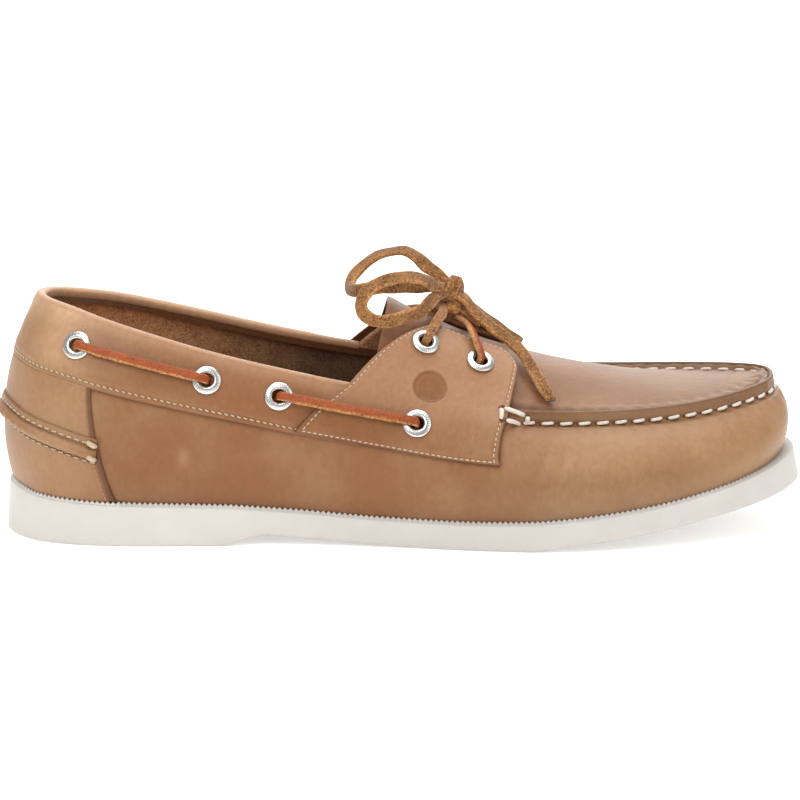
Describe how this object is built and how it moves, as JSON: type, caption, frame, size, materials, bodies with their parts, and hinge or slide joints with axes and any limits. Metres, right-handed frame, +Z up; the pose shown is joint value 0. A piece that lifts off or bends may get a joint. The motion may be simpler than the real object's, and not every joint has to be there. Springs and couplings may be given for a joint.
{
  "type": "boat shoe",
  "caption": "Low moccasin deck shoe for the right foot with a raised toe seam, side lacing tied in a bow, an open collar and a flat white rubber sole with a low heel.",
  "frame": {"origin": "on the floor under the middle of the shoe's length and width, without its free lace", "axes": "+X towards the toe, +Y towards the inner (medial) side, +Z up"},
  "size_m": [0.3046, 0.1056, 0.1036],
  "materials": {
    "sole_rubber": "matte, fine moulded grain",
    "sock_suede": "matte, napped",
    "oiled_leather": "satin, oiled full grain",
    "nickel": "polished nickel plate",
    "rawhide_lace": "matte rawhide with suede edges"
  },
  "bodies": {
    "root": {"outsole": "sole_rubber", "insole": "sock_suede", "upper": "oiled_leather", "eyestay_lateral": "oiled_leather", "eyestay_medial": "oiled_leather", "heel_counter": "oiled_leather", "heel_strap": "oiled_leather", "tongue": "oiled_leather", "eyelet_lateral_1": "nickel", "eyelet_lateral_2": "nickel", "eyelet_lateral_3": "nickel", "eyelet_lateral_4": "nickel", "eyelet_lateral_5": "nickel", "eyelet_lateral_6": "nickel", "eyelet_medial_1": "nickel", "eyelet_medial_2": "nickel", "eyelet_medial_3": "nickel", "eyelet_medial_4": "nickel", "eyelet_medial_5": "nickel", "eyelet_medial_6": "nickel", "lace_lateral_rear": "rawhide_lace", "lace_lateral_front": "rawhide_lace", "lace_medial_rear": "rawhide_lace", "lace_medial_front": "rawhide_lace", "lace_crossing": "rawhide_lace", "lace_knot": "rawhide_lace", "lace_loop_near": "rawhide_lace", "lace_loop_far": "rawhide_lace", "lace_end_near": "rawhide_lace", "lace_end_far": "rawhide_lace"}
  },
  "joints": []
}
